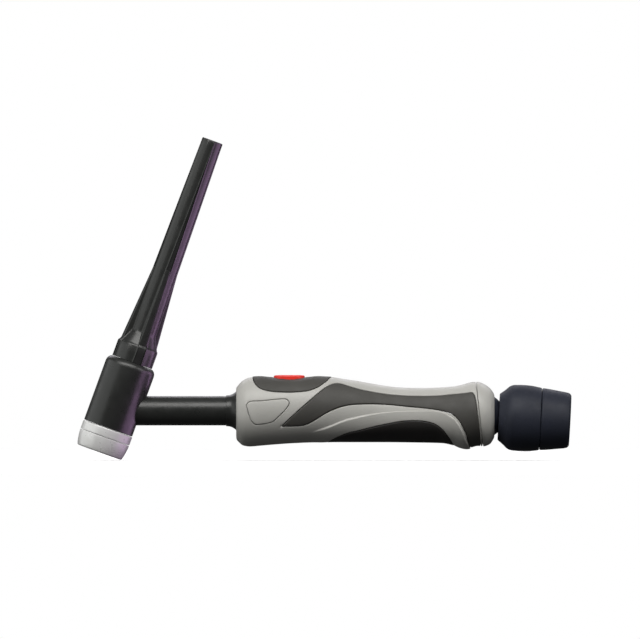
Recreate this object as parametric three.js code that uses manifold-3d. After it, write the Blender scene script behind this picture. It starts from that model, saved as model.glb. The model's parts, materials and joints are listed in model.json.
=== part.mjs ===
// A gas-cooled TIG welding torch: a 110 degree head with a long finned back cap, a short neck, an ergonomic
// two-part handle with a push button, and a ball-jointed cable sleeve at the rear.
// Millimetres, +Z up. The torch is laid out round the point where the head's axis crosses the neck's axis:
// +X runs back along the neck and handle, and the head leans back over the handle.
// The finished group is then moved so that the origin is the middle of its bounding box's underside.
import * as THREE from "three";
import { mergeVertices } from "three/addons/utils/BufferGeometryUtils.js";
import Module from "manifold-3d";

const wasm = await Module();
wasm.setup();

// ---------- driving dimensions ----------
const GAP = 0.3; // between neighbouring pieces
const HEAD_TILT = THREE.MathUtils.degToRad(20); // the head's axis, back from the vertical

// Head, measured along its own axis from the crossing point
const HEAD_R = 11.5;
const HEAD_TOP = 23.1;
const HEAD_BASE = -8.2;
const SHOULDER_WIDE = 2.4;
const SHOULDER_HIGH = 3.1;
const RING_SPLIT = -12.5; // where the insulator ends and the heat shield begins
const RING_END = -19.8;
const RING_BORE_R = 7.5;
const CORE_R = 7.5;
const CORE_TOP = 19;
const CORE_SOCKET_R = 4.9; // the front socket that takes the collet body
const CORE_BORE_R = 2.8;
const CAP_SOCKET_R = 5.6; // the rear socket that takes the back cap

// Back cap
const CAP_BASE_R = 9;
const CAP_BASE_TOP = 31;
const CAP_CORE_START = 37.4;
const FIN_END = 67.5;
const CAP_END = 129.4;
const FINS = 4;
const FIN_TURN = 15; // degrees from the torch's left side to the first fin
const CAP_THREAD_R = 5.3;
const CAP_THREAD_PITCH = 1.5;
const CAP_BORE_R = 1.9;

// Neck
const NECK_R = 6.55;
const TUBE_R = 4;
const TUBE_BORE_R = 2.5;
const NECK_SLEEVE_END = 69;
const COLLAR_START = 50.3;
const COLLAR_R = 8.7;
const COLLAR_FLANGE_R = 10;

// Handle
const HANDLE_FRONT = 55;
const HANDLE_REAR = 171;
const WALL = 2.8;
const GRIP_DEPTH = 1.3;
const BADGE_DEPTH = 0.8;
const SEAM = { x: 164.1, z: 0, lean: THREE.MathUtils.degToRad(6) }; // between the shells and the rear ring
const SHELL_SCREWS = [
  { name: "shell_screw_front", x: 66, z: -10.5 },
  { name: "shell_screw_rear", x: 104, z: -7.6 },
];

// Push button and switch
const BUTTON = { x: 78.7, length: 14, width: 8, top: 16.1, flangeTop: 12.6, flangeBottom: 11.6 };
const BOARD_TOP = 5.8;
const SWITCH = { x: 81.5, length: 9, width: 6, top: 9.8 };
const SPRING = { x: 73.6, r: 1.9, wire: 0.28, turns: 4 };

// Swivel: a ball in the rear ring, with a cone and a sleeve behind it
const PIVOT = { x: 165.5, z: -2.35 };
const SWIVEL_DROOP = THREE.MathUtils.degToRad(3);
const BALL_R = 10.2;
const SEAT_R = BALL_R + GAP;
const BALL_NECK_R = 6.7;
const BALL_BORE_R = 5.5;
const LINER_R = 12.5;
const SLEEVE_BORE_R = 10.2;

// ---------- materials ----------
const finish = (color, roughness, metalness = 0) =>
  new THREE.MeshStandardMaterial({ color, roughness, metalness });
const BLACK_PLASTIC = finish(0x2b2d2c, 0.45);
const SHIELD_WHITE = finish(0xd8d8d6, 0.3);
const SHELL_GREY = finish(0xa3a29c, 0.5);
const GRIP_DARK = finish(0x4a4946, 0.85);
const BUTTON_RED = finish(0xe03024, 0.4);
const SWIVEL_NAVY = finish(0x20222b, 0.7);
const SEAL_RED = finish(0x8c2f22, 0.6);
const BRASS = finish(0xb08d4a, 0.35, 1);
const STEEL = finish(0x9a9c9f, 0.35, 1);
const LINER_WHITE = finish(0xe4e4e0, 0.5);
const BOARD_GREEN = finish(0x2d6a3f, 0.6);
const LEAD_BLACK = finish(0x1b1b1b, 0.6);

// ---------- solids ----------
// A closed geometry as a manifold solid, facing out.
function solidOf(geometry) {
  const flat = geometry.index ? geometry.toNonIndexed() : geometry.clone();
  flat.deleteAttribute("normal");
  flat.deleteAttribute("uv");
  const merged = mergeVertices(flat, 1e-4);
  const corners = merged.index.array;
  const triVerts = [];
  for (let i = 0; i < corners.length; i += 3) {
    const [a, b, c] = [corners[i], corners[i + 1], corners[i + 2]];
    if (a !== b && b !== c && a !== c) triVerts.push(a, b, c);
  }
  const vertProperties = merged.attributes.position.array;
  const make = (tris) =>
    new wasm.Manifold(new wasm.Mesh({ numProp: 3, vertProperties, triVerts: new Uint32Array(tris) }));
  const made = make(triVerts);
  if (made.volume() > 0) return made;
  return make(triVerts.toReversed());
}

function geometryOf(solid) {
  const mesh = solid.getMesh();
  const geometry = new THREE.BufferGeometry();
  const positions = new Float32Array(mesh.numVert * 3);
  for (let i = 0; i < mesh.numVert; i++) {
    positions.set(mesh.vertProperties.subarray(i * mesh.numProp, i * mesh.numProp + 3), i * 3);
  }
  geometry.setAttribute("position", new THREE.BufferAttribute(positions, 3));
  geometry.setIndex(new THREE.BufferAttribute(mesh.triVerts, 1));
  const faceted = geometry.toNonIndexed();
  faceted.computeVertexNormals();
  return faceted;
}

const join = (...solids) => solids.reduce((a, b) => a.add(b));
const cut = (solid, ...tools) => tools.reduce((a, b) => a.subtract(b), solid);

// A body of revolution round +Z, from a closed profile of [radius, height] points.
function turned(profile, sides = 32) {
  const points = [...profile, profile[0]].map(([r, z]) => new THREE.Vector2(r, z));
  return solidOf(new THREE.LatheGeometry(points, sides).rotateX(Math.PI / 2));
}

const tube = (outer, inner, z0, z1, sides) =>
  turned([[inner, z0], [outer, z0], [outer, z1], [inner, z1]], sides);

function disc(r, z0, z1, sides = 32) {
  const geometry = new THREE.CylinderGeometry(r, r, z1 - z0, sides);
  return solidOf(geometry.rotateX(Math.PI / 2).translate(0, 0, (z0 + z1) / 2));
}

// A round bar along +X or +Y, centred on the given point of the other two axes.
const barX = (r, x0, x1, z = 0, sides = 32) =>
  disc(r, x0, x1, sides).rotate([0, 90, 0]).translate([0, 0, z]);
const barY = (r, y0, y1, x, z, sides = 16) =>
  disc(r, -y1, -y0, sides).rotate([90, 0, 0]).translate([x, 0, z]);

const block = ([x0, x1], [y0, y1], [z0, z1]) =>
  solidOf(new THREE.BoxGeometry(x1 - x0, y1 - y0, z1 - z0)
    .translate((x0 + x1) / 2, (y0 + y1) / 2, (z0 + z1) / 2));

const ball = (r, x, z) =>
  solidOf(new THREE.SphereGeometry(r, 28, 18).rotateX(Math.PI / 2).translate(x, 0, z));

// A flat outline in the torch's side plane, carried across from y0 to y1, and grown outwards by a margin.
function prism(outline, [y0, y1], margin = 0) {
  const shape = new THREE.Shape(margin ? grown(outline, margin) : outline);
  const geometry = new THREE.ExtrudeGeometry(shape, { depth: y1 - y0, bevelEnabled: false });
  return solidOf(geometry.rotateX(Math.PI / 2).translate(0, y1, 0));
}

// The outline with each point moved out along its own normal.
function grown(outline, margin) {
  const side = Math.sign(THREE.ShapeUtils.area(outline));
  return outline.map((p, i) => {
    const before = outline[(i + outline.length - 1) % outline.length];
    const after = outline[(i + 1) % outline.length];
    const along = after.clone().sub(before).normalize();
    return new THREE.Vector2(p.x + along.y * side * margin, p.y - along.x * side * margin);
  });
}

const toVectors = (points) => points.map(([x, z]) => new THREE.Vector2(x, z));
// A curve through a few points, as an outline's stretch.
const curved = (points, steps) => new THREE.SplineCurve(toVectors(points)).getPoints(steps);

// A round-ended bar of the given length and width, standing on the XY plane.
function stadium(length, width, z0, z1, x) {
  const half = (length - width) / 2;
  const shape = new THREE.Shape();
  shape.absarc(half, 0, width / 2, -Math.PI / 2, Math.PI / 2);
  shape.absarc(-half, 0, width / 2, Math.PI / 2, (3 * Math.PI) / 2);
  const options = { depth: z1 - z0, bevelEnabled: false, curveSegments: 6 };
  return solidOf(new THREE.ExtrudeGeometry(shape, options).translate(x, 0, z0));
}

// A wire along a curve.
function wire(curve, r, steps, sides) {
  const circle = new THREE.Shape().absarc(0, 0, r, 0, 2 * Math.PI);
  const options = { steps, curveSegments: sides, extrudePath: curve, bevelEnabled: false };
  return solidOf(new THREE.ExtrudeGeometry(circle, options));
}

// ---------- the handle's outer form ----------
// A smooth line through [x, value] points: cubic spans whose slopes never overshoot.
function smoothLine(points) {
  const rise = (i) => (points[i + 1][1] - points[i][1]) / (points[i + 1][0] - points[i][0]);
  const last = points.length - 1;
  const slopes = points.map((_, i) => {
    if (i === 0) return rise(0);
    if (i === last) return rise(last - 1);
    const [before, after] = [rise(i - 1), rise(i)];
    return before * after <= 0 ? 0 : (2 * before * after) / (before + after);
  });
  return (x) => {
    const found = points.findIndex((p) => p[0] > x);
    const i = found < 0 ? last - 1 : Math.max(0, found - 1);
    const span = points[i + 1][0] - points[i][0];
    const t = THREE.MathUtils.clamp((x - points[i][0]) / span, 0, 1);
    const [h00, h10] = [(1 + 2 * t) * (1 - t) ** 2, t * (1 - t) ** 2];
    const [h01, h11] = [t * t * (3 - 2 * t), t * t * (t - 1)];
    return h00 * points[i][1] + h10 * span * slopes[i] + h01 * points[i + 1][1] + h11 * span * slopes[i + 1];
  };
}

const topLine = smoothLine([
  [55, 10.6], [56.4, 12.3], [59, 14.2], [63, 15.2], [97, 15.2], [106, 13.9], [118, 11.9],
  [130, 10.4], [140, 10.2], [150, 10.7], [157, 12], [162, 13.1], [166, 12.5], [169, 10.4], [171, 7.4],
]);
const bottomLine = smoothLine([
  [55, -13], [56.4, -14.5], [59, -15.8], [62, -16], [75, -15.1], [95, -14.1], [120, -14],
  [142, -14.1], [150, -14.6], [157, -16.2], [162, -16.4], [166, -16.1], [169, -14.8], [171, -12.1],
]);
const halfWidth = smoothLine([
  [55, 10.8], [56.4, 12], [59, 13.3], [66, 14.2], [85, 14.2], [100, 13.4], [120, 12],
  [140, 11.6], [150, 12.2], [158, 13.8], [162, 14.3], [166, 14], [169, 12.4], [171, 9.75],
]);
const STATIONS = [55, 56.4, 59, 63, 75, 97, 106, 118, 130, 142, 150, 156, 161, 165, 168, 171];

// The handle's form between two stations, drawn in by a margin: elliptical sections joined into one solid.
function handleForm(inset = 0, from = HANDLE_FRONT, to = HANDLE_REAR, sides = 28) {
  const xs = [from, ...STATIONS.filter((x) => x > from + 0.5 && x < to - 0.5), to];
  const positions = [];
  for (const x of xs) {
    const [top, bottom] = [topLine(x), bottomLine(x)];
    for (let k = 0; k < sides; k++) {
      const turn = (2 * Math.PI * k) / sides;
      const z = (top + bottom) / 2 + ((top - bottom) / 2 - inset) * Math.sin(turn);
      positions.push(x, (halfWidth(x) - inset) * Math.cos(turn), z);
    }
  }
  const index = [];
  for (let row = 0; row < xs.length - 1; row++) {
    for (let k = 0; k < sides; k++) {
      const [a, b] = [row * sides + k, row * sides + ((k + 1) % sides)];
      index.push(a, b, b + sides, a, b + sides, a + sides);
    }
  }
  for (let k = 1; k < sides - 1; k++) {
    const end = (xs.length - 1) * sides;
    index.push(0, k + 1, k, end, end + k, end + k + 1);
  }
  const geometry = new THREE.BufferGeometry();
  geometry.setAttribute("position", new THREE.Float32BufferAttribute(positions, 3));
  return solidOf(geometry.setIndex(index));
}

// ---------- outlines of the handle's panels, seen from the side ----------
const GRIP_OUTLINE = [
  ...curved([[75.5, -6.8], [83.4, 0.8], [92.4, 8.7], [97, 11.6], [100.5, 12.4], [106, 11.2], [115, 8.9],
    [128.4, 7.2], [142, 6.9], [153, 7.6], [161, 8.4]], 14),
  ...curved([[161.6, 8], [162.2, 5], [162.9, 0], [163.5, -7], [164.2, -18]], 3),
  ...curved([[160.2, -18], [158.4, -11.3], [156.8, -7.3], [154.9, -4.1], [151.8, -1.4], [147.5, 0.1],
    [142, 1], [128.4, 2.4], [115, 3.1], [104, 2.4], [97, -0.1], [92.4, -2.8], [87, -5.9], [83, -6.8]], 16),
];
const UNDERSIDE_OUTLINE = [
  ...curved([[96.9, -14.2], [103.7, -10.2], [110.4, -8.6], [119.4, -6.5], [128.4, -4.9], [137.4, -4.4],
    [142.8, -5.3], [146.4, -7.3], [149.5, -10], [152.2, -14]], 12),
  ...toVectors([[153, -20], [95, -20]]),
];
const SADDLE_OUTLINE = [
  ...curved([[97, 15], [96, 14.2], [93.3, 11.7], [89.7, 9.8], [85.2, 8.8], [78.9, 8.6], [72.6, 8.9],
    [68.1, 10], [64.5, 12.5], [62.7, 14.8]], 12),
  ...toVectors([[62.5, 20], [97.2, 20]]),
];
const BADGE_OUTLINE = curved([
  [59.6, 3.2], [61.6, 4], [68, 4.7], [75.3, 5.3], [77.9, 4.7], [78.4, 2.6], [75, -1.2], [71.7, -4.6],
  [69.6, -5.8], [66.5, -6.1], [63.8, -6.2], [62.4, -5.3], [60.6, -1.8], [59.4, 1.4], [59.6, 3.2],
], 18).slice(0, -1);

// ---------- the torch ----------
const torch = new THREE.Group();
const head = new THREE.Group();
head.rotation.y = HEAD_TILT;
const swivel = new THREE.Group();
swivel.position.set(PIVOT.x, 0, PIVOT.z);
swivel.rotation.y = Math.PI / 2 + SWIVEL_DROOP;
torch.add(head, swivel);

function add(group, name, solid, material) {
  const mesh = new THREE.Mesh(geometryOf(solid), material);
  mesh.name = name;
  group.add(mesh);
}

// A solid given in the torch's frame, taken into the head's own frame.
const intoHead = (solid) => solid.rotate([0, -THREE.MathUtils.radToDeg(HEAD_TILT), 0]);

// ---------- head ----------
function headCore() {
  const body = tube(CORE_R, CORE_BORE_R, HEAD_BASE + 0.4, CORE_TOP, 28);
  const frontSocket = disc(CORE_SOCKET_R, HEAD_BASE - 1, 0, 24);
  const rearSocket = disc(CAP_SOCKET_R, 8.5, CORE_TOP + 1, 24);
  const tubePocket = intoHead(barX(TUBE_R + GAP, 5.2, 20, 0, 20));
  const gasPort = intoHead(barX(1.4, 0, 6, 0, 12));
  return cut(body, frontSocket, rearSocket, tubePocket, gasPort);
}

function headInsulation() {
  const shoulder = [0, 30, 60, 90].map((degrees) => {
    const a = THREE.MathUtils.degToRad(degrees);
    return [HEAD_R - SHOULDER_WIDE * (1 - Math.cos(a)), HEAD_TOP - SHOULDER_HIGH * (1 - Math.sin(a))];
  });
  const sealSeatR = 7.7;
  const body = turned([
    [CORE_R + GAP, HEAD_BASE], [HEAD_R, HEAD_BASE], ...shoulder, [sealSeatR, HEAD_TOP],
    [sealSeatR, CORE_TOP + GAP], [CORE_R + GAP, CORE_TOP + GAP],
  ]);
  return cut(body, intoHead(barX(TUBE_R + GAP, 5, 20, 0, 20)));
}

const frontInsulator = () => tube(11.6, RING_BORE_R, RING_SPLIT + 0.1, HEAD_BASE - GAP);

const heatShield = () => turned([
  [RING_BORE_R, RING_END], [10.3, RING_END], [10.65, RING_END + 0.35], [11.1, RING_END + 2.4],
  [11.4, RING_END + 4.7], [11.6, RING_SPLIT - GAP], [RING_BORE_R, RING_SPLIT - GAP],
]);

// A threaded rod: the radius follows a triangle wave that climbs one pitch a turn.
function threadedRod(minor, major, pitch, z0, z1, sides = 14) {
  const rowsPerPitch = 4;
  const rows = Math.round(((z1 - z0) / pitch) * rowsPerPitch);
  const positions = [];
  for (let row = 0; row <= rows; row++) {
    const z = z0 + ((z1 - z0) * row) / rows;
    for (let k = 0; k < sides; k++) {
      const phase = (((z - z0) / pitch - k / sides) % 1 + 1) % 1;
      const fade = Math.min(1, row / rowsPerPitch, (rows - row) / rowsPerPitch);
      const r = minor + (major - minor) * fade * (1 - Math.abs(2 * phase - 1));
      const turn = (2 * Math.PI * k) / sides;
      positions.push(r * Math.cos(turn), r * Math.sin(turn), z);
    }
  }
  const index = [];
  for (let row = 0; row < rows; row++) {
    for (let k = 0; k < sides; k++) {
      const [a, b] = [row * sides + k, row * sides + ((k + 1) % sides)];
      index.push(a, b, b + sides, a, b + sides, a + sides);
    }
  }
  for (let k = 1; k < sides - 1; k++) {
    index.push(0, k + 1, k, rows * sides, rows * sides + k, rows * sides + k + 1);
  }
  const geometry = new THREE.BufferGeometry();
  geometry.setAttribute("position", new THREE.Float32BufferAttribute(positions, 3));
  return solidOf(geometry.setIndex(index));
}

// A tapering fin from the cap's base cylinder up to where it runs out on the core.
function capFin(turn) {
  const half = [1.9, 1.2];
  const radius = [8.6, 5.65];
  const [low, high] = [CAP_BASE_TOP - 1, FIN_END];
  const positions = [];
  for (const [z, w, r] of [[low, half[0], radius[0]], [high, half[1], radius[1]]]) {
    positions.push(2.5, -w, z, r, -w, z, r, w, z, 2.5, w, z);
  }
  const index = [0, 2, 1, 0, 3, 2, 4, 5, 6, 4, 6, 7];
  for (let k = 0; k < 4; k++) {
    const next = (k + 1) % 4;
    index.push(k, next, next + 4, k, next + 4, k + 4);
  }
  const geometry = new THREE.BufferGeometry();
  geometry.setAttribute("position", new THREE.Float32BufferAttribute(positions, 3));
  return solidOf(geometry.setIndex(index)).rotate([0, 0, turn]);
}

function backCap() {
  const coreR = [5.9, 5.35, 4.5];
  const body = turned([
    [0, HEAD_TOP + 0.1], [CAP_BASE_R, HEAD_TOP + 0.1], [CAP_BASE_R, CAP_BASE_TOP],
    [coreR[0], CAP_CORE_START], [coreR[1], FIN_END], [coreR[2], CAP_END - 0.3], [coreR[2] - 0.3, CAP_END],
    [0, CAP_END],
  ], 28);
  const sealLand = disc(5.5, CORE_TOP + 0.5, HEAD_TOP + 1, 20);
  const thread = threadedRod(CAP_THREAD_R - 0.7, CAP_THREAD_R, CAP_THREAD_PITCH, 10, 20.5);
  const fins = Array.from({ length: FINS }, (_, i) => capFin(FIN_TURN - 90 + (360 / FINS) * i));
  return cut(join(body, sealLand, thread, ...fins), disc(CAP_BORE_R, 5, CAP_END - 3, 16));
}

function backCapSeal() {
  const [r, thick] = [6.65, 0.85];
  const z = HEAD_TOP - 0.9 - thick;
  return turned(Array.from({ length: 6 }, (_, i) => {
    const a = (2 * Math.PI * i) / 6;
    return [r + thick * Math.cos(a), z + thick * Math.sin(a)];
  }), 24);
}

add(head, "head_core", headCore(), BRASS);
add(head, "head_insulation", headInsulation(), BLACK_PLASTIC);
add(head, "front_insulator", frontInsulator(), SHIELD_WHITE);
add(head, "heat_shield", heatShield(), SHIELD_WHITE);
add(head, "back_cap", backCap(), BLACK_PLASTIC);
add(head, "back_cap_seal", backCapSeal(), SEAL_RED);

// ---------- neck ----------
const FITTING = { start: 92.5, end: 101, flats: 10 };

const neckTube = () => cut(barX(TUBE_R, 5.6, FITTING.start + 4.5, 0, 20), barX(TUBE_BORE_R, 0, 120, 0, 16));

function neckInsulation() {
  const sleeve = cut(barX(NECK_R, 2, NECK_SLEEVE_END), barX(TUBE_R + GAP, 0, 120, 0, 20));
  const headClearance = disc(HEAD_R + GAP, -30, 40, 40).rotate([0, THREE.MathUtils.radToDeg(HEAD_TILT), 0]);
  return cut(sleeve, headClearance);
}

// The collar's hollow flare, and a flange that the shells' front rib holds.
function neckCollar() {
  const bore = NECK_R + GAP;
  const flange = { r: COLLAR_FLANGE_R, front: HANDLE_FRONT + 3.2, rear: HANDLE_FRONT + 5 };
  return turned([
    [bore, COLLAR_START], [7.1, COLLAR_START], [7.15, COLLAR_START + 1.2], [7.4, COLLAR_START + 2.4],
    [7.95, COLLAR_START + 3.5], [COLLAR_R, COLLAR_START + 4.4], [COLLAR_R, flange.front],
    [flange.r, flange.front], [flange.r, flange.rear], [bore, flange.rear],
  ], 28).rotate([0, 90, 0]);
}

function fittingNut() {
  const corner = FITTING.flats / 2 / Math.cos(Math.PI / 6);
  const body = barX(corner, FITTING.start, FITTING.end, 0, 6).rotate([30, 0, 0]);
  const tubeSocket = barX(TUBE_R + GAP, FITTING.start - 1, FITTING.start + 5, 0, 20);
  return cut(body, tubeSocket, barX(TUBE_BORE_R + 1, 80, 115, 0, 16));
}

function hoseBarb() {
  const ridge = (x) => [[3.3, x], [4, x + 0.3], [3.3, x + 3]];
  const start = FITTING.start + 5 + GAP;
  const profile = [
    [TUBE_BORE_R - 0.5, start], [3.2, start], [3.2, FITTING.end + GAP], [4.2, FITTING.end + GAP],
    [4.2, 103.5], ...ridge(104.5), ...ridge(108), ...ridge(111.5), [3, 116], [TUBE_BORE_R - 0.5, 116],
  ];
  return turned(profile, 16).rotate([0, 90, 0]);
}

add(torch, "neck_tube", neckTube(), BRASS);
add(torch, "neck_insulation", neckInsulation(), BLACK_PLASTIC);
add(torch, "neck_collar", neckCollar(), BLACK_PLASTIC);
add(torch, "fitting_nut", fittingNut(), BRASS);
add(torch, "hose_barb", hoseBarb(), BRASS);

// ---------- handle ----------
const FAR = 40;
const outer = handleForm();
const LEFT = [-FAR, -0.1];
const RIGHT = [0.1, FAR];
const BOTH = [-FAR, FAR];
const panelBed = handleForm(GRIP_DEPTH + GAP);
const panelBack = handleForm(GRIP_DEPTH);
const badgeBed = handleForm(BADGE_DEPTH + GAP);
const badgeBack = handleForm(BADGE_DEPTH);
const saddleBack = handleForm(WALL, 58, 160);

// Everything behind the leaning seam between the shells and the rear ring.
const behindSeam = (gap) => block([0, FAR], BOTH, BOTH)
  .rotate([0, THREE.MathUtils.radToDeg(-SEAM.lean), 0])
  .translate([SEAM.x + gap, 0, SEAM.z]);

// The recess that a panel sits in.
const pocket = (outline, sides, bed) => cut(prism(outline, sides, GAP), bed);

function shellFrame() {
  const cavity = handleForm(WALL, 57.6, 158);
  const ribs = join(
    block([62, 64], BOTH, BOTH),
    block([85.4, 87.4], BOTH, [-FAR, 3.5]),
    block([101.6, 103.2], BOTH, [-FAR, 3.5]),
  );
  const bosses = join(...SHELL_SCREWS.map(({ x, z }) => barY(2.8, -FAR, FAR, x, z)));
  const inside = handleForm(WALL - 0.6, 57.2, 160);
  const frame = join(cut(outer, cavity), ribs.add(bosses).intersect(inside));
  return cut(
    frame,
    barX(COLLAR_R + GAP, 50, 64.5, 0, 28),
    barX(COLLAR_FLANGE_R + GAP, HANDLE_FRONT + 2.9, HANDLE_FRONT + 5.3, 0, 28),
    barX(TUBE_R + GAP, 60, 95, 0, 20),
    barX(4.2 + GAP, 90, 110, 0, 20),
    ball(BALL_R + 1, PIVOT.x, PIVOT.z),
    barX(LINER_R + GAP, 160.3, 180, PIVOT.z),
    behindSeam(-GAP / 2),
  );
}

const frame = shellFrame();

function shell(sides) {
  const past = sides.map((y) => (Math.abs(y) < 1 ? -10 * y : y));
  const half = frame.intersect(block([0, 200], sides, BOTH));
  return cut(
    half,
    pocket(GRIP_OUTLINE, past, panelBed),
    pocket(UNDERSIDE_OUTLINE, BOTH, panelBed),
    pocket(BADGE_OUTLINE, past, badgeBed),
    prism(SADDLE_OUTLINE, BOTH, GAP),
  );
}

function shellLeft() {
  const pilotHoles = SHELL_SCREWS.map(({ x, z }) => barY(1.45, -9, 1, x, z, 16));
  return cut(shell(LEFT), ...pilotHoles);
}

function shellRight() {
  const shankHoles = SHELL_SCREWS.map(({ x, z }) => barY(1.45, -1, 9, x, z, 16));
  const headWells = SHELL_SCREWS.map(({ x, z }) => barY(2.5, 8, FAR, x, z));
  return cut(shell(RIGHT), ...shankHoles, ...headWells);
}

const panel = (outline, sides, back) => cut(outer.intersect(prism(outline, sides)), back);
const screwHeads = () => SHELL_SCREWS.map(({ x, z }) => barY(2.8, 5, FAR, x, z));

function shellScrew({ x, z }) {
  const headTop = 10;
  const slot = block([x - 1.6, x + 1.6], [headTop - 0.8, headTop + 1], [z - 0.35, z + 0.35]);
  return cut(join(barY(2.1, 8.3, headTop, x, z, 20), barY(1.1, -7.5, 8.5, x, z, 14)), slot);
}

// The seat's rear lip is part of the ring; the liner fills the seat in front of it.
const rearRing = () => cut(
  outer.intersect(behindSeam(GAP / 2)),
  ball(SEAT_R, PIVOT.x, PIVOT.z),
  barX(LINER_R + GAP, 150, 168.3, PIVOT.z),
);

const socketLiner = () => cut(barX(LINER_R, 160.6, 168, PIVOT.z, 28), ball(SEAT_R, PIVOT.x, PIVOT.z));

add(torch, "handle_shell_left", shellLeft(), SHELL_GREY);
add(torch, "handle_shell_right", shellRight(), SHELL_GREY);
add(torch, "grip_panel_left", cut(panel(GRIP_OUTLINE, LEFT, panelBack), behindSeam(-GAP)), GRIP_DARK);
add(torch, "grip_panel_right", cut(panel(GRIP_OUTLINE, RIGHT, panelBack), behindSeam(-GAP)), GRIP_DARK);
add(torch, "underside_grip", cut(panel(UNDERSIDE_OUTLINE, BOTH, panelBack), ...screwHeads()), GRIP_DARK);
add(torch, "badge_left", panel(BADGE_OUTLINE, LEFT, badgeBack), SHELL_GREY);
add(torch, "badge_right", panel(BADGE_OUTLINE, RIGHT, badgeBack), SHELL_GREY);
for (const screw of SHELL_SCREWS) add(torch, screw.name, shellScrew(screw), STEEL);
add(torch, "rear_ring", rearRing(), SHELL_GREY);
add(torch, "socket_liner", socketLiner(), LINER_WHITE);

// ---------- push button and switch ----------
function switchSaddle() {
  const skin = panel(SADDLE_OUTLINE, BOTH, saddleBack);
  const frameBlock = block([68.6, 88.8], [-6.8, 6.8], [10.6, 14]);
  const slot = stadium(BUTTON.length + 2 * GAP, BUTTON.width + 2 * GAP, 5, 20, BUTTON.x);
  const flangeRoom = block([69.9, 87.5], [-5.5, 5.5], [5, BUTTON.flangeTop + GAP]);
  const dishR = 32;
  const dish = barY(dishR, -FAR, FAR, BUTTON.x, 15.2 - 0.8 + dishR, 90);
  return cut(join(skin, frameBlock.intersect(outer)), slot, flangeRoom, dish);
}

function triggerButton() {
  const cap = stadium(BUTTON.length, BUTTON.width, BUTTON.flangeBottom, BUTTON.top, BUTTON.x);
  const flange = block([70.2, 87.2], [-5.2, 5.2], [BUTTON.flangeBottom, BUTTON.flangeTop]);
  return join(cap, flange);
}

function microswitchBody() {
  const half = SWITCH.length / 2;
  const body = block([SWITCH.x - half, SWITCH.x + half], [-SWITCH.width / 2, SWITCH.width / 2],
    [BOARD_TOP + 0.1, SWITCH.top]);
  return cut(body, disc(1.15, 6.6, 12, 16).translate([SWITCH.x, 0, 0]));
}

const microswitchPlunger = () => disc(0.85, 8.2, BUTTON.flangeBottom - GAP, 16).translate([SWITCH.x, 0, 0]);

class Helix extends THREE.Curve {
  constructor(x, r, z0, z1, turns) {
    super();
    Object.assign(this, { x, r, z0, z1, turns });
  }
  getPoint(t, target = new THREE.Vector3()) {
    const turn = 2 * Math.PI * this.turns * t;
    const z = this.z0 + (this.z1 - this.z0) * t;
    return target.set(this.x + this.r * Math.cos(turn), this.r * Math.sin(turn), z);
  }
}

function buttonSpring() {
  const [low, high] = [BOARD_TOP + 0.2 + SPRING.wire, BUTTON.flangeBottom - 0.2 - SPRING.wire];
  return wire(new Helix(SPRING.x, SPRING.r, low, high, SPRING.turns), SPRING.wire, SPRING.turns * 10, 3);
}

const CONNECTOR = { front: 104.5, rear: 112.5, z: [5.3, 8.7] };

// One insulated lead from the back of the board to the connector.
function switchLead(side) {
  const y = 1.5 * side;
  const points = [
    [92.3, y, 6.6], [95, y * 1.4, 6.8], [99, y * 1.7, 7.4], [101.5, y * 1.3, 7.2],
    [CONNECTOR.front - GAP, y, 7],
  ];
  const route = new THREE.CatmullRomCurve3(points.map((p) => new THREE.Vector3(...p)));
  return wire(route, 0.65, 12, 3);
}

const switchBoard = () => cut(
  block([70.5, 92], [-4.4, 4.4], [BOARD_TOP - 1, BOARD_TOP]),
  disc(0.8, 0, 10, 12).translate([90.5, 3, 0]),
);

function leadConnector() {
  const body = block([CONNECTOR.front, CONNECTOR.rear], [-3.2, 3.2], CONNECTOR.z);
  const socketRun = [CONNECTOR.rear - 4, CONNECTOR.rear + 1];
  const sockets = [-1.5, 1.5].map((y) => block(socketRun, [y - 0.7, y + 0.7], [6.3, 7.7]));
  const latch = block([106, 110], [-1.2, 1.2], [CONNECTOR.z[1] - 0.1, CONNECTOR.z[1] + 0.6]);
  return cut(body.add(latch), ...sockets);
}

add(torch, "switch_saddle", switchSaddle(), GRIP_DARK);
add(torch, "trigger_button", triggerButton(), BUTTON_RED);
add(torch, "microswitch_body", microswitchBody(), LEAD_BLACK);
add(torch, "microswitch_plunger", microswitchPlunger(), BUTTON_RED);
add(torch, "button_spring", buttonSpring(), STEEL);
add(torch, "switch_board", switchBoard(), BOARD_GREEN);
add(torch, "switch_lead_left", switchLead(-1), LEAD_BLACK);
add(torch, "switch_lead_right", switchLead(1), LEAD_BLACK);
add(torch, "lead_connector", leadConnector(), LINER_WHITE);

// ---------- swivel, measured along its own axis from the pivot ----------
const arc = (r, from, to, steps) => Array.from({ length: steps + 1 }, (_, i) => {
  const a = THREE.MathUtils.degToRad(from + ((to - from) * i) / steps);
  return [r * Math.sin(a), r * Math.cos(a)];
});

// The ball, its narrow neck and the spigot that carries the cone.
function swivelBall() {
  const neckAngle = THREE.MathUtils.radToDeg(Math.asin(BALL_NECK_R / BALL_R));
  return turned([
    [BALL_BORE_R, -8.2], ...arc(BALL_R, 143, neckAngle, 9), [BALL_NECK_R, 12.4], [9.6, 12.4], [9.6, 16],
    [BALL_BORE_R + 1.5, 16], [BALL_BORE_R, 14.6],
  ]);
}

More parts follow.
